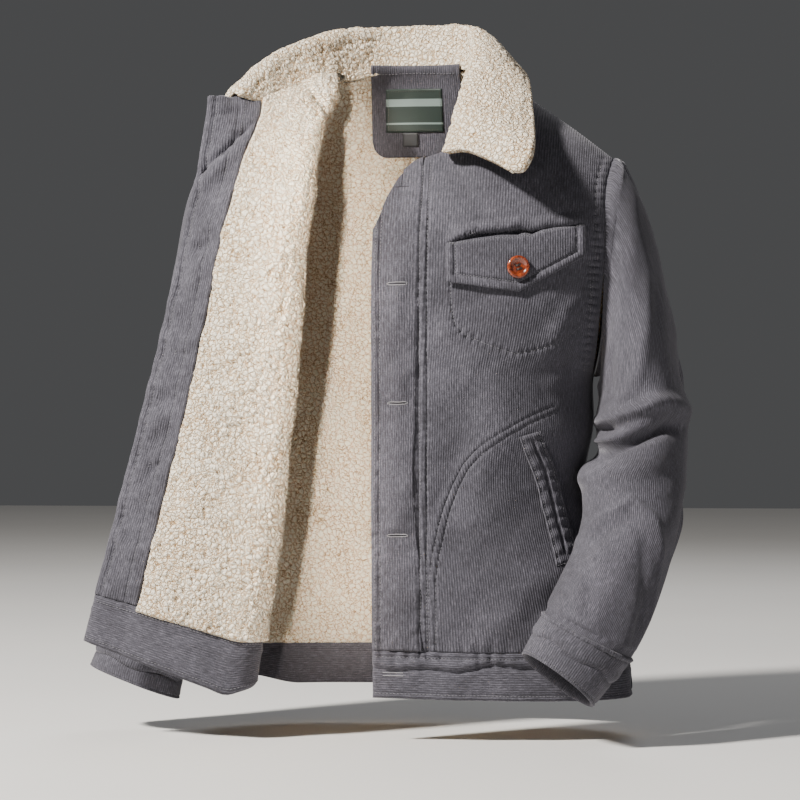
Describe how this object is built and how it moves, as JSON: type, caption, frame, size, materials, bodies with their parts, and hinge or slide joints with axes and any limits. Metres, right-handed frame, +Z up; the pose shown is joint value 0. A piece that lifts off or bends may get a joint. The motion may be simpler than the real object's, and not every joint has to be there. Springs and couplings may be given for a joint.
{
  "type": "sherpa lined corduroy jacket",
  "caption": "Corduroy trucker jacket with a sherpa lining and collar, filled out as worn, with its right front turned back.",
  "frame": {"origin": "middle of the back neck seam, where the wearer's neck and shoulders hold the jacket up", "axes": "+Z up, the fronts face -Y, +X is the wearer's left"},
  "size_m": [0.6271, 0.3152, 0.7185],
  "materials": {
    "corduroy": "fine wale cotton corduroy, grey, napped",
    "sherpa": "curly cream sherpa pile",
    "woven_label": "woven satin label, dark green",
    "size_tag": "woven tape, near black",
    "button": "polished brown, marbled"
  },
  "bodies": {
    "root": {"left_front_shell": "corduroy", "left_facing": "corduroy", "back_shell": "corduroy", "right_front_shell": "corduroy", "right_facing": "corduroy", "left_hem_band": "corduroy", "back_hem_band": "corduroy", "right_hem_band": "corduroy", "left_sleeve": "corduroy", "left_cuff": "corduroy", "right_sleeve": "corduroy", "right_cuff": "corduroy", "under_collar": "corduroy", "left_placket": "corduroy", "left_chest_flap": "corduroy", "left_pocket_welt": "corduroy", "right_chest_flap": "corduroy", "right_pocket_welt": "corduroy", "neck_patch": "corduroy", "left_front_lining": "sherpa", "back_lining": "sherpa", "right_front_lining": "sherpa", "collar_sherpa": "sherpa", "neck_label": "woven_label", "size_tag": "size_tag", "left_flap_button": "button", "right_flap_button": "button", "right_front_button_1": "button", "right_front_button_2": "button", "right_front_button_3": "button", "right_front_button_4": "button", "right_front_button_5": "button"}
  },
  "joints": []
}
